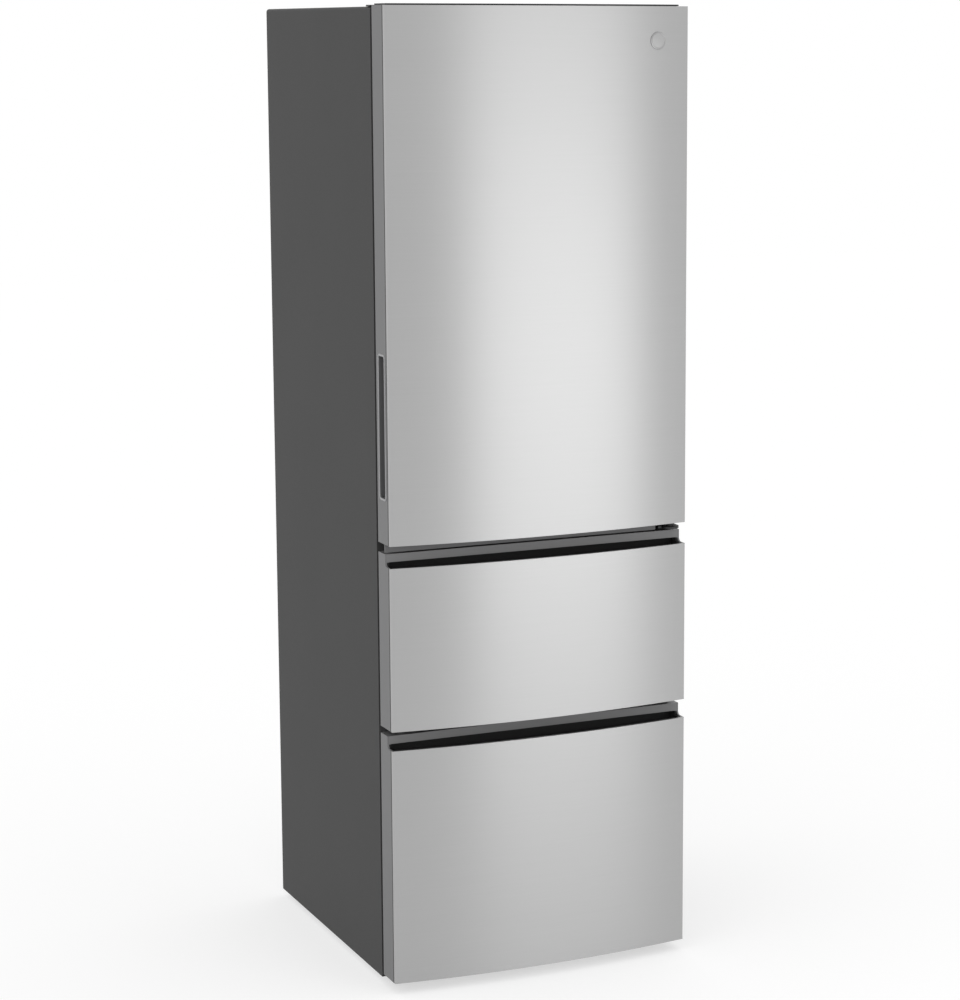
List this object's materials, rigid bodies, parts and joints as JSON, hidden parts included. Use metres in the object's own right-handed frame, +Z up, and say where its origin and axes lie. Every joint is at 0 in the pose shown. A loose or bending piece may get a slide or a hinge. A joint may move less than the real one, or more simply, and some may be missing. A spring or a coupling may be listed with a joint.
{
  "type": "bottom freezer refrigerator",
  "caption": "Upright refrigerator with a hinged steel door over pull-out freezer drawers, bowed fronts and recessed pulls.",
  "frame": {"origin": "on the floor under the middle of the whole outline", "axes": "+Z up, -Y towards the person in front of the closed door, +X to that person's right"},
  "size_m": [0.594, 0.67, 1.803],
  "materials": {
    "steel_front": "fine horizontal brush, satin",
    "casing_paint": "fine textured satin paint",
    "edge_plastic": "satin moulded",
    "pull_plastic": "satin moulded",
    "cap_plastic": "satin moulded",
    "black_plastic": "matte moulded",
    "liner_plastic": "smooth vacuum-formed",
    "clear_plastic": "clear moulded",
    "shelf_glass": "clear, polished edge",
    "shelf_trim": "smooth moulded",
    "seal_rubber": "soft matte",
    "foam": "cut foam",
    "galvanised": "galvanised sheet",
    "hinge_steel": "black powder coat",
    "screw_steel": "zinc plated",
    "coil_aluminium": "mill finish",
    "coil_black": "dipped black paint",
    "compressor_paint": "satin black paint",
    "fan_plastic": "matte moulded",
    "motor_plastic": "matte moulded",
    "roller_nylon": "matte moulded",
    "foot_plastic": "matte moulded",
    "console_plastic": "smooth moulded",
    "button_plastic": "smooth moulded",
    "lamp_lens": "frosted"
  },
  "bodies": {
    "cabinet": {"cabinet_wrapper": "casing_paint", "back_panel": "galvanised", "base_pan": "galvanised", "cabinet_foam": "foam", "fresh_food_liner": "liner_plastic", "freezer_liner": "liner_plastic", "front_crossrails": "casing_paint", "shelf_panes": "shelf_glass", "shelf_trims": "shelf_trim", "ceiling_console": "console_plastic", "lamp_lens": "lamp_lens", "air_duct_cover": "console_plastic", "freezer_back_panel": "liner_plastic", "evaporator": "coil_aluminium", "evaporator_fan_motor": "motor_plastic", "freezer_cabinet_rails": "galvanised", "top_hinge": "hinge_steel", "middle_hinge": "hinge_steel", "screws": "screw_steel", "top_front_trim": "black_plastic", "machine_base": "galvanised", "compressor": "compressor_paint", "condenser": "coil_black", "condenser_fan_mount": "motor_plastic", "machine_cover": "galvanised", "rear_spacers": "black_plastic"},
    "door": {"door_skin": "steel_front", "door_edge_walls": "edge_plastic", "door_core": "foam", "door_inner_panel": "liner_plastic", "door_top_cap": "cap_plastic", "door_bottom_cap": "cap_plastic", "door_gasket": "seal_rubber", "door_handle_cup": "black_plastic", "door_bins": "clear_plastic"},
    "upper_drawer": {"upper_drawer_skin": "steel_front", "upper_drawer_edge_frame": "edge_plastic", "upper_drawer_pull": "pull_plastic", "upper_drawer_core": "foam", "upper_drawer_inner_panel": "liner_plastic", "upper_drawer_gasket": "seal_rubber", "upper_drawer_rails": "galvanised", "upper_drawer_bin": "clear_plastic"},
    "lower_drawer": {"lower_drawer_skin": "steel_front", "lower_drawer_edge_frame": "edge_plastic", "lower_drawer_pull": "pull_plastic", "lower_drawer_core": "foam", "lower_drawer_inner_panel": "liner_plastic", "lower_drawer_gasket": "seal_rubber", "lower_drawer_rails": "galvanised", "lower_drawer_bin": "clear_plastic"},
    "crisper_bin": {"crisper_bin": "clear_plastic"},
    "temperature_button": {"temperature_button": "button_plastic"},
    "fast_cool_button": {"fast_cool_button": "button_plastic"},
    "evaporator_fan": {"evaporator_fan": "fan_plastic"},
    "condenser_fan": {"condenser_fan": "fan_plastic"},
    "left_rear_roller": {"left_rear_roller": "roller_nylon"},
    "right_rear_roller": {"right_rear_roller": "roller_nylon"},
    "left_front_foot": {"left_front_foot": "foot_plastic"},
    "right_front_foot": {"right_front_foot": "foot_plastic"}
  },
  "joints": [
    {"name": "door_hinge", "type": "hinge", "parent": "cabinet", "child": "door", "pos_m": [0.275, -0.293, 0.85], "axis": [0, 0, 1], "range_deg": [0, 130]},
    {"name": "upper_drawer_slide", "type": "slide", "parent": "cabinet", "child": "upper_drawer", "axis": [0, -1, 0], "range_m": [0, 0.38]},
    {"name": "lower_drawer_slide", "type": "slide", "parent": "cabinet", "child": "lower_drawer", "axis": [0, -1, 0], "range_m": [0, 0.38]},
    {"name": "crisper_slide", "type": "slide", "parent": "cabinet", "child": "crisper_bin", "axis": [0, -1, 0], "range_m": [0, 0.23]},
    {"name": "temperature_button_press", "type": "slide", "parent": "cabinet", "child": "temperature_button", "axis": [0, 1, 0], "range_m": [0, 0.0015], "stiffness_N_per_m": 400},
    {"name": "fast_cool_button_press", "type": "slide", "parent": "cabinet", "child": "fast_cool_button", "axis": [0, 1, 0], "range_m": [0, 0.0015], "stiffness_N_per_m": 400},
    {"name": "evaporator_fan_spin", "type": "hinge", "parent": "cabinet", "child": "evaporator_fan", "pos_m": [0, 0.2125, 0.64], "axis": [0, 1, 0], "continuous": true},
    {"name": "condenser_fan_spin", "type": "hinge", "parent": "cabinet", "child": "condenser_fan", "pos_m": [0.022, 0.246, 0.0883], "axis": [1, 0, 0], "continuous": true},
    {"name": "left_rear_roller_spin", "type": "hinge", "parent": "cabinet", "child": "left_rear_roller", "pos_m": [-0.24, 0.271, 0.02], "axis": [1, 0, 0], "continuous": true},
    {"name": "right_rear_roller_spin", "type": "hinge", "parent": "cabinet", "child": "right_rear_roller", "pos_m": [0.24, 0.271, 0.02], "axis": [1, 0, 0], "continuous": true},
    {"name": "left_front_foot_turn", "type": "hinge", "parent": "cabinet", "child": "left_front_foot", "pos_m": [-0.25, -0.207, 0.004], "axis": [0, 0, 1], "continuous": true},
    {"name": "right_front_foot_turn", "type": "hinge", "parent": "cabinet", "child": "right_front_foot", "pos_m": [0.25, -0.207, 0.004], "axis": [0, 0, 1], "continuous": true}
  ],
  "couplings": [
    {"joint": "crisper_slide", "follows": "door_hinge", "m_per_rad": 0.1}
  ]
}
